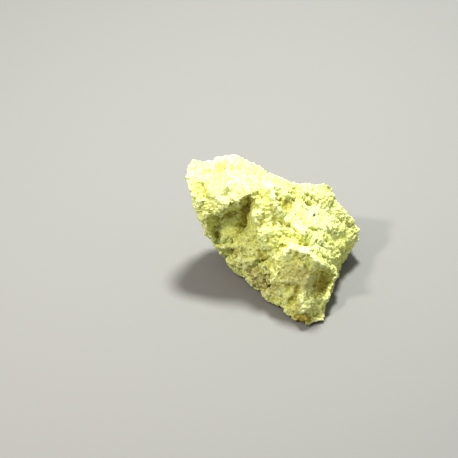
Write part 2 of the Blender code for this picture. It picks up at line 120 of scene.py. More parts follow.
# The corners inside that outline on the side that shows
FRONT = {
    "slab_middle_left": seen(-28.0, 58.6, 37.4),
    "slab_middle": seen(-21.0, 61.2, 40.0),
    "slab_middle_right": seen(-11.0, 61.6, 40.6),
    "slab_lip_left": seen(-27.0, 49.4, 31.0),
    "slab_lip": seen(-22.8, 53.0, 31.0),
    "slab_lip_middle": seen(-18.0, 55.0, 32.4),
    "slab_lip_right": seen(-12.8, 56.2, 32.8),
    "slab_corner": seen(-4.0, 56.0, 32.8),
    "rim_left": seen(-27.3, 41.8, 28.2),
    "rim_step": seen(-21.8, 44.5, 26.8),
    "rim_middle": seen(-18.2, 47.6, 27.2),
    "rim_right": seen(-13.2, 50.0, 28.0),
    "rim_top": seen(-9.2, 52.0, 28.2),
    "rim_side_top": seen(-6.6, 48.8, 27.0),
    "rim_side": seen(-7.2, 42.6, 24.6),
    "rim_side_foot": seen(-8.8, 35.4, 23.6),
    "rim_foot": seen(-14.0, 33.6, 28.8),
    "rim_foot_left": seen(-19.0, 33.2, 31.0),
    "rim_left_foot": seen(-23.4, 32.4, 32.0),
    "rim_left_side": seen(-25.4, 38.2, 29.8),
    "brow_left": seen(-20.8, 43.4, 28.4),
    "brow": seen(-16.4, 46.2, 28.8),
    "brow_right": seen(-11.0, 49.0, 29.2),
    "recess_top_left": seen(-21.4, 42.4, 32.8),
    "recess_top": seen(-16.2, 44.6, 34.2),
    "recess_top_right": seen(-10.0, 48.0, 33.6),
    "recess_right": seen(-10.2, 38.4, 32.2),
    "recess_left": seen(-22.2, 36.6, 32.6),
    "patch_top_left": seen(-20.2, 41.2, 33.0),
    "patch_top_right": seen(-14.4, 41.4, 32.8),
    "patch_foot_right": seen(-14.6, 35.6, 29.6),
    "patch_foot_left": seen(-19.4, 35.4, 30.2),
    "band_top": seen(-3.6, 52.0, 29.6),
    "band_upper": seen(-4.4, 46.6, 26.0),
    "band": seen(-4.2, 40.0, 21.6),
    "band_lower": seen(-3.6, 32.8, 17.8),
    "band_foot": seen(0.0, 26.8, 15.2),
    "ridge_top": seen(-0.8, 54.0, 30.6),
    "ridge_upper": seen(1.2, 49.0, 26.8),
    "ridge_middle": seen(4.6, 42.8, 24.0),
    "ridge_lower": seen(7.8, 39.2, 22.2),
    "ridge_foot": seen(12.0, 37.2, 20.0),
    "hollow_top": seen(3.2, 51.2, 29.8),
    "hollow_middle": seen(6.4, 47.4, 28.5),
    "hollow_foot": seen(10.2, 42.8, 25.4),
    "slope_top": seen(11.2, 50.4, 35.2),
    "slope_middle": seen(17.2, 47.2, 35.2),
    "slope_hump": seen(20.4, 52.4, 40.8),
    "slope_shelf": seen(24.8, 44.2, 38.4),
    "slope_lower": seen(18.6, 38.6, 26.6),
    "slope_right": seen(29.6, 39.8, 38.4),
    "slope_hollow": seen(25.4, 32.8, 29.0),
    "slope_hollow_right": seen(30.0, 33.0, 32.4),
    "terrace": seen(19.6, 31.6, 19.4),
    "terrace_left": seen(12.6, 33.2, 16.2),
    "terrace_step": seen(4.4, 33.4, 17.2),
    "end_slope": seen(26.2, 27.0, 22.8),
    "end_slope_right": seen(29.0, 28.2, 29.8),
    "edge_lobe": seen(4.8, 28.0, 12.4),
    "edge_left": seen(7.4, 30.4, 12.6),
    "edge_middle": seen(13.4, 28.8, 10.2),
    "edge_right": seen(16.8, 26.4, 9.0),
    "edge_lower": seen(20.0, 24.2, 11.0),
    "edge_corner": seen(23.6, 22.2, 16.0),
    "end_corner": seen(25.2, 20.2, 17.4),
    "end_edge": seen(23.8, 15.8, 13.4),
    "end_edge_lower": seen(21.6, 10.6, 8.4),
    "end_edge_foot": seen(18.8, 6.4, 4.2),
    "front_hollow_top": seen(20.4, 20.6, 15.2),
    "front_hollow": seen(20.0, 16.4, 11.4),
    "front_hollow_foot": seen(18.8, 12.6, 8.8),
    "front_bulge": seen(6.0, 22.4, 9.8),
    "front_bulge_right": seen(14.8, 20.4, 7.4),
    "front_waist": seen(12.8, 15.2, 5.4),
    "toe_top": seen(11.6, 11.6, 3.0),
    "toe_top_right": seen(16.6, 10.4, 3.4),
    "toe_face": seen(12.0, 5.6, -0.6),
    "toe_corner": seen(6.4, 8.4, 5.0),
    "front_edge_upper": seen(1.4, 20.2, 11.0),
    "front_edge_lower": seen(4.4, 13.6, 8.4),
    "flank_front": seen(0.2, 13.8, 12.4),
    "flank_lower": seen(-4.4, 18.2, 18.2),
    "flank_middle": seen(-8.8, 21.8, 20.8),
    "flank_upper": seen(-12.8, 25.6, 23.6),
    "flank_back": seen(-16.6, 28.6, 27.6),
    "flank_ledge_left": seen(-19.4, 30.6, 28.8),
    "flank_ledge": seen(-11.0, 30.6, 25.4),
    "flank_ledge_right": seen(-5.4, 26.6, 19.6),
}

# The corners on the hidden back, and those of the flat underside
HIDDEN = {
    "back_slab_left": lifted(-31.0, 63.8, 43.6),
    "back_top_left": lifted(-18.0, 66.1, 43.0),
    "back_top": lifted(2.0, 58.6, 37.0),
    "back_hump": lifted(23.2, 54.7, 28.6),
    "back_top_right": lifted(18.0, 54.5, 27.0),
    "back_left": lifted(-25.0, 52.0, 25.0),
    "back_middle_left": lifted(-8.0, 53.9, 23.0),
    "back_middle": lifted(9.0, 51.2, 18.0),
    "back_right": lifted(24.0, 45.8, 13.0),
    "back_end": lifted(30.5, 38.0, 7.5),
    "back_left_foot": lifted(-22.4, 34.7, 8.0),
    "base_left": lifted(-13.2, 22.4, 0.0),
    "base_left_middle": lifted(-3.0, 14.4, 0.0),
    "base_left_front": lifted(5.8, 6.3, 0.0),
    "base_front": lifted(12.6, 2.1, 0.0),
    "base_heel": lifted(18.0, 4.8, 0.0),
    "base_right": lifted(22.6, 14.4, 0.0),
    "base_right_back": lifted(26.0, 22.1, 0.0),
    "base_back_right": lifted(24.6, 32.1, 0.0),
    "base_back": lifted(8.0, 34.8, 0.0),
    "base_back_left": lifted(-11.4, 31.4, 0.0),
    "heel_back_right": lifted(28.6, 33.2, 3.2),
    "heel_back": lifted(8.6, 40.4, 4.0),
    "heel_back_left": lifted(-16.6, 34.4, 4.0),
}

# The creases that stay edges of the front, each a chain of corners
FRONT_CREASES = (
    ("slab_lip_left", "slab_lip", "slab_lip_middle", "slab_lip_right", "slab_corner"),
    ("left_nose", "rim_left", "rim_step", "rim_middle", "rim_right", "rim_top", "rim_side_top", "rim_side"),
    ("rim_side", "rim_side_foot", "rim_foot", "rim_foot_left", "rim_left_foot", "rim_left_side", "rim_left"),
    ("patch_top_left", "patch_top_right", "patch_foot_right", "patch_foot_left", "patch_top_left"),
    ("brow_left", "brow", "brow_right"),
    ("recess_left", "recess_top_left", "recess_top", "recess_top_right", "recess_right"),
    ("slab_corner", "ridge_top", "ridge_upper", "ridge_middle", "ridge_lower", "ridge_foot"),
    ("hollow_top", "hollow_middle", "hollow_foot"),
    ("edge_lobe", "edge_left", "edge_middle", "edge_right", "edge_lower", "edge_corner", "end_corner"),
    ("end_corner", "end_edge", "end_edge_lower", "end_edge_foot", "heel"),
    ("front_hollow_top", "front_hollow", "front_hollow_foot"),
    ("edge_lobe", "front_edge_upper", "front_edge_lower", "toe_corner", "toe_left"),
)

HIDDEN_CREASES = (
    ("base_left", "base_left_middle", "base_left_front", "base_front", "base_heel", "base_right"),
    ("base_right", "base_right_back", "base_back_right", "base_back", "base_back_left", "base_left"),
    ("back_left", "back_middle_left", "back_middle", "back_right", "back_end"),
)

# Ridges on the front: the way they run as (right, rise), their half width and their height
RIDGES = {
    "recess_rim": (((-28.6, 42.0), (-25.0, 43.2), (-21.6, 44.9), (-18.2, 48.0), (-13.2, 50.3)), 1.8, 0.4),
    "recess_left_rim": (((-26.8, 40.6), (-25.4, 37.6), (-23.6, 33.4)), 1.2, 0.8),
    "main_ridge": (((-0.8, 54.0), (1.0, 49.2), (4.6, 42.8), (7.8, 39.2), (12.0, 37.2)), 1.5, 1.0),
    "terrace_lip": (((4.8, 38.0), (9.0, 36.2), (13.6, 35.8)), 1.1, 0.7),
    "lobe": (((8.0, 32.6), (5.4, 30.2), (4.8, 27.8)), 1.3, 0.9),
    "lower_edge": (((8.0, 31.0), (13.6, 29.4), (17.0, 27.0), (20.2, 24.8), (24.0, 22.6)), 1.3, 0.8),
    "end_rim": (((25.0, 20.4), (23.8, 15.8), (21.4, 10.8), (18.8, 6.6)), 1.2, 0.7),
    "flank_ledge": (((-22.4, 31.2), (-17.0, 31.4), (-12.0, 31.6)), 1.2, 0.9),
    "flank_knob": (((-17.4, 25.2), (-14.2, 24.0)), 1.5, 0.9),
    "flank_knob_lower": (((-10.6, 20.0), (-7.2, 19.2)), 1.5, 1.0),
    "foot_knob": (((-3.0, 12.8), (-0.6, 12.0)), 1.5, 0.9),
    "front_fold": (((1.2, 17.4), (5.2, 18.4), (9.4, 17.6)), 1.4, 0.5),
}

# Hollows on the front. A spot on the front is (right, rise, half width, half height, turn in degrees,
# amount), and here the amount is the depth.
HOLLOWS = {
    "slab_pit": (-20.0, 63.0, 2.2, 3.8, -30, 1.3),
    "slab_dimple": (-25.6, 61.4, 2.0, 1.4, 0, 0.9),
    "lip_hollow": (-17.6, 52.4, 2.4, 1.4, 20, 0.8),
    "rim_end_hollow": (-6.2, 51.6, 2.2, 1.4, -15, 0.4),
    "recess_deep_top": (-16.6, 44.4, 3.8, 2.2, 25, 0.8),
    "recess_deep_right": (-10.6, 44.0, 2.6, 5.4, -8, 0.5),
    "recess_trench": (-22.4, 36.8, 2.2, 5.0, 6, 0.4),
    "ridge_hollow_top": (2.8, 51.2, 2.2, 3.2, 25, 1.4),
    "ridge_hollow": (7.0, 47.6, 4.6, 3.2, -30, 1.6),
    "pit_one": (8.2, 51.6, 2.2, 1.4, -10, 0.6),
    "pit_two": (11.4, 49.6, 2.8, 1.3, -15, 0.6),
    "pit_three": (15.0, 48.2, 2.8, 1.2, -10, 0.6),
    "pit_four": (17.6, 47.6, 1.5, 1.1, 0, 0.4),
    "slope_groove": (16.8, 38.8, 3.2, 1.2, -8, 1.0),
    "long_hollow": (12.4, 33.0, 4.4, 1.5, -14, 1.7),
    "end_hollow": (27.6, 33.8, 4.4, 2.4, -8, 0.7),
    "end_hollow_deep": (25.2, 31.6, 1.9, 1.9, 0, 0.3),
    "shelf_hollow": (20.6, 33.2, 1.5, 2.2, 0, 0.8),
    "lobe_hollow": (4.4, 31.6, 1.8, 1.8, 0, 1.0),
    "band_hollow": (-2.6, 43.6, 2.8, 1.3, 0, 1.0),
    "band_pit": (1.2, 40.2, 1.4, 1.2, 0, 0.7),
    "band_low_pit": (-2.8, 28.8, 2.0, 1.6, 0, 1.3),
    "flank_pocket": (-17.2, 29.2, 2.1, 1.4, 0, 1.4),
    "flank_slot": (-11.4, 29.6, 1.2, 2.8, 0, 1.0),
    "flank_pit_one": (-4.4, 24.4, 2.8, 1.6, 10, 1.5),
    "flank_pit_two": (-9.2, 23.2, 1.6, 1.6, 0, 1.2),
    "flank_pit_three": (-1.4, 19.4, 1.7, 3.0, -15, 1.5),
    "front_hollow": (20.4, 17.0, 4.2, 6.4, -26, 1.4),
    "front_groove": (8.0, 11.6, 1.6, 5.6, -32, 1.8),
    "front_slot": (6.0, 15.2, 1.3, 2.3, 0, 1.2),
    "waist_hollow": (14.6, 22.6, 2.6, 3.0, 20, 0.7),
    "toe_hollow": (12.6, 4.0, 3.4, 1.6, 0, 1.0),
}

# Spots of calmer ground on the front, with less than 0 where the ground is rougher
CALM = {
    "slab": (-18.0, 60.0, 18.0, 8.5, -6, 0.5),
    "recess_patch": (-17.4, 38.4, 4.4, 4.4, 0, 0.8),
    "ridge_head": (-3.0, 54.0, 4.0, 3.4, 0, 0.7),
    "ridge_dish": (6.4, 48.6, 4.6, 4.2, -20, 0.5),
    "flank": (-8.0, 22.5, 17.0, 8.0, -42, -1.3),
    "front": (12.0, 19.4, 10.0, 6.0, -15, 0.6),
    "band": (-5.2, 41.0, 3.6, 9.0, -8, -0.6),
    "hump": (21.0, 54.0, 6.0, 4.0, -10, 0.6),
    "slab_side": (-30.5, 56.0, 4.5, 5.5, 0, 0.6),
    "rim": (-18.5, 47.0, 9.0, 2.4, 25, -0.8),
    "slope": (17.5, 45.0, 11.0, 8.0, -35, 0.4),
    "end": (27.8, 33.4, 5.4, 4.4, 0, 0.7),
}

# Spots where the grain alone is calmer, with less than 0 where it is rougher
FINER = {
    "slab": (-18.0, 60.5, 16.0, 7.0, -6, -0.6),
    "slope": (17.0, 43.0, 12.0, 8.0, -35, 0.35),
    "terrace": (18.0, 31.6, 8.0, 3.6, -14, 0.55),
    "end": (27.6, 33.6, 5.0, 4.0, 0, 0.4),
    "lip": (-20.0, 52.0, 9.0, 3.6, 18, 0.5),
    "band_top": (-3.4, 49.6, 3.4, 4.4, 0, 0.45),
    "ridge_dish": (7.0, 48.0, 4.6, 3.6, -30, 0.4),
}

# Spots down in the recess where the painted shade of the hollows is taken away, so that they show lighter as
# if lit
SHADE_LIFTED = {
    "recess_patch": (-17.4, 38.4, 4.0, 4.4, 0, 0.8),
}

# Spots of painted shade, partly the sulfur's own deeper amber: a darker amber where shade falls, in the
# recess, the hollows and grooves, under the toe and on the side turned from the light
AMBER_SHADE = {
    "front_hollow": (20.2, 16.4, 3.6, 6.4, -24, 0.9),
    "recess_right": (-10.6, 46.4, 2.8, 8.0, -12, 0.85),
    "recess_top": (-16.6, 44.4, 4.6, 1.6, 25, 0.65),
    "ridge_dish": (5.4, 47.8, 4.6, 3.2, -30, 0.75),
    "slab_pit": (-20.6, 62.8, 4.4, 2.6, 35, 0.5),
    "long_hollow": (12.4, 32.8, 4.0, 1.4, -14, 0.4),
    "flank_pocket": (-14.6, 29.4, 2.4, 1.6, 0, 0.6),
    "flank_pit": (-4.0, 27.4, 3.2, 1.8, 10, 0.5),
    "front_groove": (8.4, 12.4, 1.8, 5.0, -32, 0.5),
    "end_side": (24.4, 14.6, 1.7, 5.4, -20, 0.6),
    "lower_flank": (-4.0, 17.5, 8.0, 3.5, -42, 0.3),
    "recess_trench": (-22.6, 37.0, 1.8, 4.6, 6, 0.5),
    "toe_foot": (12.4, 2.2, 5.6, 2.6, -8, 1.0),
}

# Spots of painted shade on the lower front, the lower flank and the toe, in a greyer, duller yellow
LOWER_SHADE = {
    "front": (10.5, 18.5, 10.5, 7.0, -15, 0.7),
    "lower_flank": (-4.0, 17.4, 11.0, 4.4, -42, 0.9),
    "toe": (12.0, 5.0, 7.0, 5.0, 0, 0.5),
}

# Thin folds and grooves on the front: the way they run as (right, rise), their half width and their height,
# which is less than 0 for a groove
FOLDS = {
    "slope_fold": (((13.6, 39.2), (18.0, 39.0), (21.6, 38.0)), 0.8, 0.5),
    "end_fold": (((20.6, 37.4), (22.8, 34.2), (25.6, 31.4)), 0.9, 0.7),
    "terrace_fold": (((16.8, 35.0), (21.2, 32.2), (24.6, 30.4)), 0.8, 0.5),
    "terrace_fold_lower": (((9.4, 31.0), (13.4, 30.4), (17.0, 30.2)), 0.8, 0.5),
    "flank_finger": (((-14.2, 32.8), (-12.0, 28.6), (-12.8, 25.6)), 1.0, 0.8),
    "flank_finger_lower": (((-18.0, 26.2), (-14.0, 23.6), (-12.8, 20.2)), 1.0, 0.8),
    "flank_finger_right": (((-8.0, 24.0), (-6.0, 19.6), (-7.2, 16.0)), 1.0, 0.6),
    "ridge_groove": (((8.3, 49.9), (12.2, 48.8), (15.8, 48.0)), 0.6, -0.7),
    "ledge_groove": (((4.7, 40.7), (7.1, 39.0), (9.8, 37.2)), 0.6, -0.7),
    "slope_groove_right": (((14.4, 38.2), (18.0, 37.9), (20.6, 37.2)), 0.5, -0.5),
    "terrace_groove": (((8.3, 33.2), (11.7, 32.0), (16.6, 31.5)), 0.6, -0.7),
    "flank_groove": (((-16.2, 30.0), (-14.2, 27.4), (-13.8, 25.0)), 0.7, -0.8),
    "flank_groove_right": (((-5.4, 29.6), (-4.4, 27.2), (-3.0, 25.2)), 0.8, -0.9),
}

# Spots of painted light: a paler yellow on the lit slope, terrace and lip
CHALKY_LIGHT = {
    "slope": (19.6, 43.0, 11.0, 7.0, -35, 0.5),
    "terrace": (18.0, 31.4, 8.0, 3.4, -14, 0.4),
    "lip": (-20.0, 51.6, 8.0, 3.4, 18, 0.35),
}

# Brown mineral specks in the sulfur: right, rise, radius
SPECKS = {
    "slope_speck": (16.9, 44.0, 0.75),
    "slope_speck_two": (22.4, 38.8, 0.55),
    "end_speck": (31.6, 39.2, 0.45),
    "toe_speck": (12.6, 1.6, 0.4),
}

# How far each kind of break moves the surface, how far apart its waves or chips are, and its seed
WARP_DEPTH = 0.8
WARP_SIZE = 13.0
WARP_SEED = 11
RIPPLE_DEPTH = 0.5
RIPPLE_SIZE = 5.5
RIPPLE_SEED = 21
CHIP_DEPTH = 0.75
CHIP_SIZE = 7.5
CHIP_SEED = 4
LUMP_DEPTH = 0.5
LUMP_SIZE = 4.0
LUMP_SEED = 7

# The seeds of the crumbs and the grains, and how round their tops are
CRUMB_SEED = 31
CRUMB_ROUNDNESS = 0.45
GRAIN_SEED = 41
GRAIN_ROUNDNESS = 0.8

# How much of the calm patches' calm reaches the crumbs and grains, and the least that is left of them there
CALM_SHARE = 0.8
LEAST_RELIEF = 0.1

# The heights above the flat underside at which the breaks and the grains have grown to their whole depth
BREAK_FADE = 1.6
GRAIN_FADE = 1.0

# The outward direction's share towards the view, from -1 to 1: where the front's forms start and where they
# are whole, the same for the calm patches, and the share towards the back at which the colour spots end
FORMS_FACING = (0.0, 0.3)
CALM_FACING = (-0.6, 0.0)
BACK_LIMIT = 0.3

# Where a ridge ends, in half widths, and where a hollow's floor and its edge end, in half sizes
RIDGE_END = 1.5
HOLLOW_FLOOR = 0.25
HOLLOW_EDGE = 1.15

# Where a speck's colour starts to fade and where it ends, in parts of its radius
SPECK_MIDDLE = 0.5
SPECK_EDGE = 1.3

# How depth below an evened surface paints shade on the stone, and height above it paints light: the most that
# it adds, and where it starts and is whole
BROAD_HOLLOW_SHADE = (0.85, 0.3, 2.2)
FINE_HOLLOW_SHADE = (0.45, 0.02, 0.24)
BROAD_CREST_LIGHT = (0.3, 0.2, 2.4)
FINE_CREST_LIGHT = (0.5, 0.02, 0.3)

# How much of a crest's painted light the painted amber shade takes away
AMBER_SHADE_ON_CREST = 0.8

# The rounds of evening that find the broad and the fine hollows, and those that soften outward directions
BROAD_ROUNDS = 200
FINE_ROUNDS = 4
CAGE_ROUNDS = 3
SURFACE_ROUNDS = 2

# The cage's longest edge, the most times its edges are halved, and the grid steps along a triangle's side
CAGE_EDGE = 2.9
MOST_HALVINGS = 12
GRID_STEPS = 5

# What the random numbers are made with: large odd factors, and bit shifts with the factor that follows each
CELL_FACTORS = (374761393, 668265263, 2246822519)
SEED_FACTOR = 3266489917
MIXINGS = ((15, 2246822519), (13, 3266489917))

# How far a seed shifts the cells of the waves and of the chips, and what brings the waves to about 1
WAVE_SHIFT = 7.31
CHIP_SHIFT = 5.17
WAVE_GAIN = 1.6

# How unequal the chips' heights are, and the square distance where their roundness takes nothing away
CHIP_STEP = 0.5
CHIP_LEVEL = 0.3

# The widths of the patterns in the stone: clouds of deeper yellow, grains, and the grit on them, which is
# drawn coarser than real grit so that it shows
CLOUD_WIDTH = 9 * MM
GRAIN_WIDTH = 1.1 * MM
GRIT_WIDTH = 0.45 * MM

# The photograph's middle as far right and as high as it shows, the width that it spans, how far back the
# camera aims, and the width of the camera's sensor
PHOTO_RIGHT = -17.2
PHOTO_RISE = 38.4
PHOTO_WIDTH = 183.2
AIM_BACK = 27.5
SENSOR_WIDTH = 36.0

# The lights, in metres and watts: where each one is, its width, its power and its colour
LIGHTS = {
    "key_light": ((0.03, 0.17, 0.52), 0.1, 3.2, "#F9FFF4"),
    "fill_light": ((-0.33, -0.18, 0.46), 0.06, 1.25, "#FFF7EC"),
}
LIGHT_TARGET = (0.0, 0.0, 0.02)
STUDIO_COLOUR = "#FBFBF6"
STUDIO_STRENGTH = 0.42
FLOOR_WIDTH = 6.0


def linear(hex_colour):
    """An sRGB hex colour as linear red, green, blue and alpha."""
    channels = [int(hex_colour[start : start + 2], 16) / 255 for start in (1, 3, 5)]
    return tuple(c / 12.92 if c <= 0.04045 else ((c + 0.055) / 1.055) ** 2.4 for c in channels) + (1.0,)


def mesh_from_corners():
    """The closed cage: triangles over the front corners and, turned over, over the hidden ones."""
    cage = bmesh.new()
    made = {name: cage.verts.new(place) for name, place in {**OUTLINE, **FRONT, **HIDDEN}.items()}
    outline = list(OUTLINE)
    for inside, creases, front in ((FRONT, FRONT_CREASES, True), (HIDDEN, HIDDEN_CREASES, False)):
        names = outline + list(inside)
        flat = [Vector((made[name].co.x, made[name].co.y * SIN + made[name].co.z * COS)) for name in names]
        edges = [(i, (i + 1) % len(outline)) for i in range(len(outline))]
        for crease in creases:
            numbers = [names.index(name) for name in crease]
            edges += list(zip(numbers[:-1], numbers[1:]))
        # Output type 1 keeps the triangles inside the outline, and they are third in the result
        for face in delaunay_2d_cdt(flat, edges, [], 1, 1e-6)[2]:
            corners = [made[names[number]] for number in face]
            cage.faces.new(corners if front else corners[::-1])
    return cage


def split_long_edges(cage, longest):
    """Halves every edge over the given length until none is left."""
    for _ in range(MOST_HALVINGS):
        long_edges = [edge for edge in cage.edges if edge.calc_length() > longest]
        if not long_edges:
            break
        bmesh.ops.subdivide_edges(cage, edges=long_edges, cuts=1)
        wide = [face for face in cage.faces if len(face.verts) > 3]
        bmesh.ops.triangulate(cage, faces=wide, quad_method="SHORT_EDGE", ngon_method="BEAUTY")


def cage_surface():
    """The cage's points and triangles, with its long edges split."""
    cage = mesh_from_corners()
    split_long_edges(cage, CAGE_EDGE)
    cage.verts.index_update()
    points = np.array([vertex.co[:] for vertex in cage.verts])
    triangles = np.array([[vertex.index for vertex in face.verts] for face in cage.faces])
    cage.free()
    return points, triangles


def rise_of(points):
    """How high each point shows: back times the sine of the tilt, plus height times its cosine."""
    return points[:, 1] * SIN + points[:, 2] * COS


def facing_view(outward, start, end):
    """How far each point faces the front view: 0 up to start, 1 from end, by its outward direction."""
    return smooth_step(outward[:, 2] * SIN - outward[:, 1] * COS, start, end)


def above_ground(points):
    """The points, with those under the ground lifted to it."""
    return np.maximum(points, (-np.inf, -np.inf, 0.0))


def scatter(cells, seed):
    """A number from 0 to 1 for each whole-number cell, the same each time: its bits are mixed and scaled."""
    cells = cells.astype(np.int64).astype(np.uint32)
    mixed = sum(cells[..., axis] * np.uint32(factor) for axis, factor in enumerate(CELL_FACTORS))
    mixed = mixed + np.uint32(seed * SEED_FACTOR & 0xFFFFFFFF)
    for shift, factor in MIXINGS:
        mixed = (mixed ^ (mixed >> np.uint32(shift))) * np.uint32(factor)
    return (mixed >> np.uint32(8)) / float(1 << 24)


def scatter_three(cells, seed):
    """Three numbers from 0 to 1 for each cell, from the seed and the two after it."""
    return np.stack([scatter(cells, seed + axis) for axis in range(3)], axis=1)


def waves(points, size, seed):
    """Smooth random heights from about -1 to 1: each cell corner has a random slope, and they are blended."""
    scaled = points / size + seed * WAVE_SHIFT
    cell = np.floor(scaled)
    part = scaled - cell
    ease = part**3 * (part * (part * 6 - 15) + 10)
    total = np.zeros(len(points))
    for corner in itertools.product((0, 1), repeat=3):
        weight = np.prod(np.where(np.array(corner) == 1, ease, 1 - ease), axis=1)
        slope = scatter_three(cell + corner, seed * 3) * 2 - 1
        total += weight * np.sum(slope * (part - corner), axis=1)
    return total * WAVE_GAIN


def wave_moves(points, size, seed):
    """A smooth random move of each point: waves along each of the three axes."""
    return np.stack([waves(points, size, seed + axis) for axis in range(3)], axis=1)


def chips(points, size, seed, roundness=0.0):
    """Tilted chips: each point is as high as the tilted plane through its nearest random spot.

    The square of its distance from that spot, times the roundness, is taken away, so the chip's top is round.
    """
    scaled = points / size + seed * CHIP_SHIFT
    cell = np.floor(scaled)
    nearest = np.full(len(points), np.inf)
    height = np.zeros(len(points))
    for corner in itertools.product((-1, 0, 1), repeat=3):
        there = cell + corner
        away = scaled - (there + scatter_three(there, seed * 5))
        square = np.sum(away**2, axis=1)
        tilt = scatter_three(there, seed * 5 + 10) * 2 - 1
        plane = np.sum(away * tilt, axis=1) + CHIP_STEP * (scatter(there, seed * 5 + 20) - 0.5)
        closer = square < nearest
        nearest = np.where(closer, square, nearest)
        height = np.where(closer, plane, height)
    return np.clip(height, -1, 1) - roundness * (nearest - CHIP_LEVEL)


def smooth_step(value, start, end):
    """0 below start, 1 above end, and a smooth rise between."""
    part = np.clip((value - start) / (end - start), 0, 1)
    return part * part * (3 - 2 * part)


def ridge_height(right, rise, line, half_width, height):
    """A rounded ridge along a line in the front view: highest on the line, and down to 0 beside it."""
    nearest = np.full(len(right), np.inf)
    for (start_right, start_rise), (end_right, end_rise) in zip(line[:-1], line[1:]):
        run = np.array((end_right - start_right, end_rise - start_rise))
        along = ((right - start_right) * run[0] + (rise - start_rise) * run[1]) / (run @ run)
        along = np.clip(along, 0, 1)
        gap = np.hypot(right - start_right - along * run[0], rise - start_rise - along * run[1])
        nearest = np.minimum(nearest, gap)
    return height * (1 - smooth_step(nearest, 0, half_width * RIDGE_END))


def hollow_depth(right, rise, middle_right, middle_rise, half_width, half_height, turn, depth):
    """A dish in the front view: full depth near its middle, eased to 0 just past its turned ellipse."""
    angle = math.radians(turn)
    across = (right - middle_right) * math.cos(angle) + (rise - middle_rise) * math.sin(angle)
    up = (rise - middle_rise) * math.cos(angle) - (right - middle_right) * math.sin(angle)
    reach = np.hypot(across / half_width, up / half_height)
    return depth * (1 - smooth_step(reach, HOLLOW_FLOOR, HOLLOW_EDGE))


def spots_at(points, spots):
    """What the spots of a table add up to at each point."""
    rise = rise_of(points)
    return sum(hollow_depth(points[:, 0], rise, *spot) for spot in spots.values())


def normals_of(points, triangles, rounds):
    """Each point's outward direction: its triangles' directions, weighted by area, added and made 1 long.

    Each further round takes a triangle's direction from the mean of its points', which softens the result.
    """
    corners = points[triangles]
    facing = np.cross(corners[:, 1] - corners[:, 0], corners[:, 2] - corners[:, 0])
    for _ in range(rounds):
        at_points = np.zeros_like(points)
        for side in range(3):
            np.add.at(at_points, triangles[:, side], facing)
        at_points /= np.linalg.norm(at_points, axis=1, keepdims=True)
        area = np.linalg.norm(facing, axis=1, keepdims=True)
        facing = at_points[triangles].mean(axis=1)
        facing *= area / np.linalg.norm(facing, axis=1, keepdims=True)
    return at_points


def triangle_grid(steps):
    """The grid on a triangle: whole-number weights that add up to steps, and its small triangles."""
    spots = [(i, j) for i in range(steps + 1) for j in range(steps + 1 - i)]
    number = {spot: place for place, spot in enumerate(spots)}
    weights = np.array([(steps - i - j, i, j) for i, j in spots])
    upright = [(number[i, j], number[i + 1, j], number[i, j + 1]) for i, j in spots if i + j < steps]
    turned = [
        (number[i + 1, j], number[i + 1, j + 1], number[i, j + 1]) for i, j in spots if i + j < steps - 1
    ]
    return weights, np.array(upright + turned)


def blended(values, triangles, weights):
    """P(i, j) = (l A + i B + j C) / steps over every cage triangle ABC at once, where l + i + j = steps."""
    a, b, c = (values[triangles[:, side]][:, None, :] for side in range(3))
    l, i, j = (weights[:, side][None, :, None] for side in range(3))
    return (a * l + b * i + c * j) / weights[0].sum()


def gridded(points, outward, triangles, steps):
    """The cage's triangles as fine grids, with the points that two grids share made one."""
    weights, small = triangle_grid(steps)
    fine = blended(points, triangles, weights).reshape(-1, 3)
    direction = blended(outward, triangles, weights).reshape(-1, 3)
    faces = (small[None] + np.arange(len(triangles))[:, None, None] * len(weights)).reshape(-1, 3)
    _, first, index = np.unique(fine, axis=0, return_index=True, return_inverse=True)
    direction = direction[first]
    direction /= np.linalg.norm(direction, axis=1, keepdims=True)
    return fine[first], direction, index.reshape(-1)[faces]


def calm_ground(points, outward, spots):
    """How calm the ground is at each point: the sum of the calm patches, which reach over the outline."""
    return facing_view(outward, *CALM_FACING) * spots_at(points, spots)


def broken(points, outward):
    """The surface moved by its ridges, hollows, waves, chips and lumps, with the flat underside kept."""
    right = points[:, 0]
    rise = rise_of(points)
    facing = facing_view(outward, *FORMS_FACING)
    height = np.zeros(len(points))
    for line, half_width, top in RIDGES.values():
        height += facing * ridge_height(right, rise, line, half_width, top)
    for spot in HOLLOWS.values():
        height -= facing * hollow_depth(right, rise, *spot)
    lively = 1 - calm_ground(points, outward, CALM)
    rough = CHIP_DEPTH * chips(points, CHIP_SIZE, CHIP_SEED)
    rough += LUMP_DEPTH * waves(points, LUMP_SIZE, LUMP_SEED)
    warp = wave_moves(points, WARP_SIZE, WARP_SEED) * WARP_DEPTH
    ripple = wave_moves(points, RIPPLE_SIZE, RIPPLE_SEED) * RIPPLE_DEPTH
    moved = warp + ripple * lively[:, None] + outward * (height + rough * lively)[:, None]
    moved *= smooth_step(points[:, 2], 0.0, BREAK_FADE)[:, None]
    return above_ground(points + moved)


def folded(points, outward):
    """The surface moved outwards by the front's thin folds, and inwards by its grooves."""
    rise = rise_of(points)
    folds = sum(ridge_height(points[:, 0], rise, *fold) for fold in FOLDS.values())
    return points + outward * (facing_view(outward, *FORMS_FACING) * folds)[:, None]


def grained(points, outward, sizes):
    """The fine relief: crumbs and grains stand outwards, lower on calm ground, and none underneath."""
    height = sizes.crumb_height / MM * chips(points, sizes.crumb_size / MM, CRUMB_SEED, CRUMB_ROUNDNESS)
    height += sizes.grain_height / MM * chips(points, sizes.grain_size / MM, GRAIN_SEED, GRAIN_ROUNDNESS)
    calm = CALM_SHARE * calm_ground(points, outward, CALM) + calm_ground(points, outward, FINER)
    height *= np.maximum(1 - calm, LEAST_RELIEF) * smooth_step(points[:, 2], 0.0, GRAIN_FADE)
    return above_ground(points + outward * height[:, None])


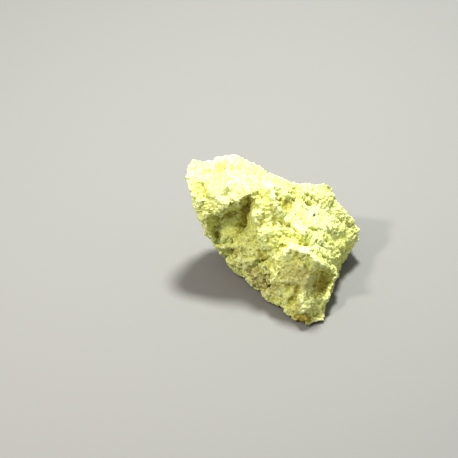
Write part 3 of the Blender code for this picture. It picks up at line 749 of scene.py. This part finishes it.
def evened(points, triangles, rounds):
    """The points moved to the middle of their neighbours, once for each round."""
    start, end = np.concatenate([triangles[:, [0, 1]], triangles[:, [1, 2]], triangles[:, [2, 0]]]).T
    neighbours = np.bincount(start, minlength=len(points))
    for _ in range(rounds):
        total = [np.bincount(start, points[end, axis], len(points)) for axis in range(3)]
        points = np.stack(total, axis=1) / neighbours[:, None]
    return points


def depth_below(points, outward, triangles, rounds):
    """How far each point lies below the evened surface, in millimetres: more than 0 in a hollow."""
    return np.sum((evened(points, triangles, rounds) - points) * outward, axis=1)


def specks_at(points):
    """How brown each point is: 1 in the middle of a speck, and 0 from just past its radius."""
    amount = np.zeros(len(points))
    for right, rise, radius in SPECKS.values():
        away = np.hypot(points[:, 0] - right, rise_of(points) - rise)
        amount = np.maximum(amount, 1 - smooth_step(away, radius * SPECK_MIDDLE, radius * SPECK_EDGE))
    return amount


def tint(depth, most, start, end):
    """How much a depth paints shade or light on the stone: nothing up to start, and the most from end."""
    return most * smooth_step(depth, start, end)


def colour_amounts(points, outward, broad, fine):
    """How much of the speck colour, the painted shade on the lower faces and in the hollows, and the painted
    light on the crests each point takes, from 0 to about 1.
    """
    shown = outward[:, 1] < BACK_LIMIT
    shade_lifted, amber_shade, lower_shade, chalky_light = (
        shown * spots_at(points, spots) for spots in (SHADE_LIFTED, AMBER_SHADE, LOWER_SHADE, CHALKY_LIGHT)
    )
    # Painted shade: a darker amber in the hollows found by evening, less where the shade is lifted, and the
    # amber spots
    deep = np.maximum(tint(broad, *BROAD_HOLLOW_SHADE) * (1 - shade_lifted), amber_shade)
    # Painted light: paler on the crests and on the lit slope, terrace and lip
    pale = tint(-broad, *BROAD_CREST_LIGHT) + chalky_light + tint(-fine, *FINE_CREST_LIGHT)
    return {
        "speck": specks_at(points) * shown,
        "lower_shade": lower_shade,
        "hollow_shade": np.minimum(deep + tint(fine, *FINE_HOLLOW_SHADE), 1.0),
        "crest_light": pale * (1 - AMBER_SHADE_ON_CREST * np.minimum(amber_shade, 1.0)),
    }


def block_surface(sizes):
    """Points in metres in the frame, triangles, and each point's amount of each colour."""
    points, triangles = cage_surface()
    outward = normals_of(points, triangles, CAGE_ROUNDS)
    points, outward, triangles = gridded(points, outward, triangles, GRID_STEPS)
    points = broken(points, outward)
    points = folded(points, normals_of(points, triangles, SURFACE_ROUNDS))
    outward = normals_of(points, triangles, SURFACE_ROUNDS)
    # How far below the evened surface each point lies, which places the painted shade of the hollows
    broad = depth_below(points, outward, triangles, BROAD_ROUNDS)
    points = grained(points, outward, sizes)
    fine = depth_below(points, outward, triangles, FINE_ROUNDS)
    amounts = colour_amounts(points, outward, broad, fine)
    return (points - (MIDDLE_RIGHT, MIDDLE_BACK, 0.0)) * MM, triangles, amounts


def mesh_object(name, points, triangles):
    """An object at the origin whose mesh has the given points and triangles."""
    mesh = bpy.data.meshes.new(name)
    mesh.vertices.add(len(points))
    mesh.vertices.foreach_set("co", points.astype(np.float32).ravel())
    mesh.loops.add(triangles.size)
    mesh.loops.foreach_set("vertex_index", triangles.astype(np.int32).ravel())
    mesh.polygons.add(len(triangles))
    mesh.polygons.foreach_set("loop_start", np.arange(0, triangles.size, 3, dtype=np.int32))
    mesh.update(calc_edges=True)
    mesh.validate()
    obj = bpy.data.objects.new(name, mesh)
    bpy.context.scene.collection.objects.link(obj)
    return obj


def add_node(material, kind, settings=None, inputs=None, links=None):
    """Adds a node, sets its properties and inputs, and links sockets into its inputs."""
    tree = material.node_tree
    node = tree.nodes.new(kind)
    for name, value in (settings or {}).items():
        setattr(node, name, value)
    for name, value in (inputs or {}).items():
        node.inputs[name].default_value = value
    for name, socket in (links or {}).items():
        tree.links.new(socket, node.inputs[name])
    return node


def massive_native_sulfur(colours):
    """Native sulfur as it breaks: sugary, resinous and a little translucent, in paler and deeper grains, with
    painted shade in its hollows and on its lower faces and painted light on its crests.
    """
    material = bpy.data.materials.new("massive_native_sulfur")
    material.use_nodes = True
    material.node_tree.nodes.clear()
    place = add_node(material, "ShaderNodeTexCoord").outputs["Object"]
    # Clouds of paler and deeper sulfur
    clouds = add_node(
        material,
        "ShaderNodeTexNoise",
        inputs={"Scale": 1 / CLOUD_WIDTH, "Detail": 4.0, "Roughness": 0.6},
        links={"Vector": place},
    )
    cloud_share = add_node(
        material,
        "ShaderNodeMapRange",
        inputs={"From Min": 0.42, "From Max": 0.68, "To Min": 0.0, "To Max": 0.7},
        links={"Value": clouds.outputs["Fac"]},
    )
    colour = add_node(
        material,
        "ShaderNodeMix",
        settings={"data_type": "RGBA"},
        inputs={"A": tuple(colours.pale), "B": tuple(colours.deep)},
        links={"Factor": cloud_share.outputs["Result"]},
    )
    # Grains, each a slightly different yellow
    grains = add_node(
        material,
        "ShaderNodeTexVoronoi",
        inputs={"Scale": 1 / GRAIN_WIDTH, "Randomness": 1.0},
        links={"Vector": place},
    )
    grain_value = add_node(
        material, "ShaderNodeSeparateColor", links={"Color": grains.outputs["Color"]}
    ).outputs["Red"]
    dull_share = add_node(
        material,
        "ShaderNodeMapRange",
        inputs={"From Min": 0.55, "From Max": 1.0, "To Min": 0.0, "To Max": 0.45},
        links={"Value": grain_value},
    )
    colour = add_node(
        material,
        "ShaderNodeMix",
        settings={"data_type": "RGBA"},
        inputs={"B": tuple(colours.dust)},
        links={"Factor": dull_share.outputs["Result"], "A": colour.outputs["Result"]},
    )
    # Colours from the block's attributes: painted shade in a greyer yellow on the lower faces and in a darker
    # amber in the hollows, painted light in a nearly white yellow on the crests, and the brown specks of
    # another mineral
    for name in ("lower_shade", "hollow_shade", "crest_light", "speck"):
        amount = add_node(material, "ShaderNodeAttribute", settings={"attribute_name": name})
        colour = add_node(
            material,
            "ShaderNodeMix",
            settings={"data_type": "RGBA"},
            inputs={"B": tuple(getattr(colours, name))},
            links={"Factor": amount.outputs["Fac"], "A": colour.outputs["Result"]},
        )
    # A few grains break along a bright face, so they are glossier
    roughness = add_node(
        material,
        "ShaderNodeMapRange",
        inputs={"From Min": 0.0, "From Max": 0.25, "To Min": 0.22, "To Max": 0.62},
        links={"Value": grain_value},
    )
    # The grains' own relief, and the grit on them
    grain_bump = add_node(
        material,
        "ShaderNodeBump",
        inputs={"Strength": 0.8, "Distance": 0.5 * MM},
        links={"Height": grains.outputs["Distance"]},
    )
    grit = add_node(
        material,
        "ShaderNodeTexNoise",
        inputs={"Scale": 1 / GRIT_WIDTH, "Detail": 3.0, "Roughness": 0.65},
        links={"Vector": place},
    )
    bump = add_node(
        material,
        "ShaderNodeBump",
        inputs={"Strength": 0.8, "Distance": 0.35 * MM},
        links={"Height": grit.outputs["Fac"], "Normal": grain_bump.outputs["Normal"]},
    )
    # Sulfur bends light strongly, and a little light passes under its surface
    shader = add_node(
        material,
        "ShaderNodeBsdfPrincipled",
        inputs={
            "IOR": 1.96,
            "Subsurface Weight": 0.35,
            "Subsurface Radius": (1.0, 0.85, 0.25),
            "Subsurface Scale": 0.8 * MM,
        },
        links={
            "Base Color": colour.outputs["Result"],
            "Roughness": roughness.outputs["Result"],
            "Normal": bump.outputs["Normal"],
        },
    )
    add_node(material, "ShaderNodeOutputMaterial", links={"Surface": shader.outputs["BSDF"]})
    return material


def matte_backdrop_paper(colour):
    """Matte studio paper: one even colour with hardly any gloss."""
    material = bpy.data.materials.new("matte_backdrop_paper")
    material.use_nodes = True
    shader = material.node_tree.nodes["Principled BSDF"]
    shader.inputs["Base Color"].default_value = tuple(colour)
    shader.inputs["Roughness"].default_value = 0.9
    return material


def size_setting(name, description, default, minimum):
    """A length in metres that the panel shows."""
    return bpy.props.FloatProperty(
        name=name, description=description, default=default, min=minimum, unit="LENGTH"
    )


def colour_setting(name, description, hex_colour):
    """A colour that the panel shows, from its sRGB hex value."""
    return bpy.props.FloatVectorProperty(
        name=name, description=description, subtype="COLOR", size=4, default=linear(hex_colour)
    )


class SulfurSizes(bpy.types.PropertyGroup):
    crumb_size: size_setting("Crumb size", "How far apart the small chips are", 2.0 * MM, 0.5 * MM)
    crumb_height: size_setting("Crumb height", "How far the small chips stand out", 0.6 * MM, 0.0)
    grain_size: size_setting("Grain size", "How far apart the grains are", GRAIN_WIDTH, 0.4 * MM)
    grain_height: size_setting("Grain height", "How far the grains stand out", 0.32 * MM, 0.0)


class SulfurColours(bpy.types.PropertyGroup):
    pale: colour_setting("Pale sulfur", "The main colour of the fresh break", "#EAF09A")
    deep: colour_setting("Deep sulfur", "The stronger yellow of the denser clouds", "#DAD960")
    dust: colour_setting("Dull grains", "The greyer yellow of the dull grains", "#D2CF7E")
    # Painted shade on the lower front, flank and toe, in a greyer yellow
    lower_shade: colour_setting(
        "Weathered skin", "The greyer, duller yellow where the block has lain in the open", "#B9B06E"
    )
    # Painted shade: the darker amber put in the hollows and crevices
    hollow_shade: colour_setting("Hollows", "The deep amber yellow down in the hollows", "#AA9D1A")
    # Painted light: the nearly white yellow put on the crests
    crest_light: colour_setting("Crests", "The crushed, nearly white sulfur on the crests", "#F0F7C4")
    speck: colour_setting("Mineral specks", "The brown grains of another mineral", "#6E6A4A")


class SulfurStage(bpy.types.PropertyGroup):
    floor: colour_setting("Floor", "The colour of the paper that the block stands on", "#908E90")
    lens: bpy.props.FloatProperty(
        name="Lens",
        description="Focal length in millimetres",
        default=200.0,
        min=20.0,
    )


class AddSulfurBlock(bpy.types.Operator):
    """Add the block of native sulfur with its fine relief"""

    bl_idname = "sulfur.add_block"
    bl_label = "Sulfur block"

    def execute(self, context):
        points, triangles, amounts = block_surface(context.scene.sulfur_sizes)
        block = mesh_object("sulfur_block_stone", points, triangles)
        for name, amount in amounts.items():
            attribute = block.data.attributes.new(name, "FLOAT", "POINT")
            attribute.data.foreach_set("value", amount.astype(np.float32))
        block.data.polygons.foreach_set("use_smooth", np.ones(len(triangles), bool))
        block.data.materials.append(massive_native_sulfur(context.scene.sulfur_colours))
        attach(block, "root")
        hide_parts("sulfur_block")
        return {"FINISHED"}


def area_light(name, place, size, power, colour):
    """A round lamp that points at the middle of the block."""
    light = bpy.data.lights.new(name, "AREA")
    light.shape = "DISK"
    light.size = size
    light.energy = power
    light.color = linear(colour)[:3]
    lamp = bpy.data.objects.new(name, light)
    lamp.location = place
    lamp.rotation_euler = (Vector(LIGHT_TARGET) - Vector(place)).to_track_quat("-Z", "Y").to_euler()
    bpy.context.scene.collection.objects.link(lamp)


def studio_world():
    """Even, dim light from all around."""
    world = bpy.data.worlds.new("studio")
    world.use_nodes = True
    world.node_tree.nodes["Background"].inputs["Color"].default_value = linear(STUDIO_COLOUR)
    world.node_tree.nodes["Background"].inputs["Strength"].default_value = STUDIO_STRENGTH
    return world


def photo_camera(lens):
    """A camera that frames the block as the photograph does, from the view's tilt."""
    camera_data = bpy.data.cameras.new("camera")
    camera_data.lens = lens
    camera_data.sensor_width = SENSOR_WIDTH
    camera = bpy.data.objects.new("camera", camera_data)
    right, back, height = seen(PHOTO_RIGHT, PHOTO_RISE, AIM_BACK)
    aim = Vector((right - MIDDLE_RIGHT, back - MIDDLE_BACK, height)) * MM
    distance = PHOTO_WIDTH * MM * lens / SENSOR_WIDTH
    towards_camera = Vector((0.0, -COS, SIN))
    camera.location = aim + towards_camera * distance
    camera.rotation_euler = (-towards_camera).to_track_quat("-Z", "Y").to_euler()
    bpy.context.scene.collection.objects.link(camera)
    return camera


class AddSulfurStage(bpy.types.Operator):
    """Add the floor, the lights and the camera"""

    bl_idname = "sulfur.add_stage"
    bl_label = "Floor, lights and camera"

    def execute(self, context):
        stage = context.scene.sulfur_stage
        bpy.ops.mesh.primitive_plane_add(size=FLOOR_WIDTH, location=(0.0, 0.0, 0.0))
        floor = context.active_object
        floor.name = "floor"
        floor.data.materials.append(matte_backdrop_paper(stage.floor))
        for name, light in LIGHTS.items():
            area_light(name, *light)
        context.scene.world = studio_world()
        context.scene.view_settings.view_transform = "Standard"
        context.scene.view_settings.look = "High Contrast"
        context.scene.camera = photo_camera(stage.lens)
        return {"FINISHED"}


class SulfurPanel(bpy.types.Panel):
    """Sizes, colours and the steps that build the specimen"""

    bl_idname = "VIEW3D_PT_sulfur"
    bl_label = "Native sulfur specimen"
    bl_space_type = "VIEW_3D"
    bl_region_type = "UI"
    bl_category = "Sulfur"

    def draw(self, context):
        layout = self.layout
        for group in (context.scene.sulfur_sizes, context.scene.sulfur_colours, context.scene.sulfur_stage):
            for name in group.__annotations__:
                layout.prop(group, name)
        layout.operator("sulfur.add_block")
        layout.operator("sulfur.add_stage")


CLASSES = (SulfurSizes, SulfurColours, SulfurStage, AddSulfurBlock, AddSulfurStage, SulfurPanel)


def register():
    for cls in CLASSES:
        bpy.utils.register_class(cls)
    bpy.types.Scene.sulfur_sizes = bpy.props.PointerProperty(type=SulfurSizes)
    bpy.types.Scene.sulfur_colours = bpy.props.PointerProperty(type=SulfurColours)
    bpy.types.Scene.sulfur_stage = bpy.props.PointerProperty(type=SulfurStage)


def unregister():
    del bpy.types.Scene.sulfur_stage
    del bpy.types.Scene.sulfur_colours
    del bpy.types.Scene.sulfur_sizes
    for cls in reversed(CLASSES):
        bpy.utils.unregister_class(cls)


def main():
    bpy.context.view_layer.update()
    register()
    bpy.ops.sulfur.add_block()
    bpy.ops.sulfur.add_stage()


if __name__ == "__main__":
    main()
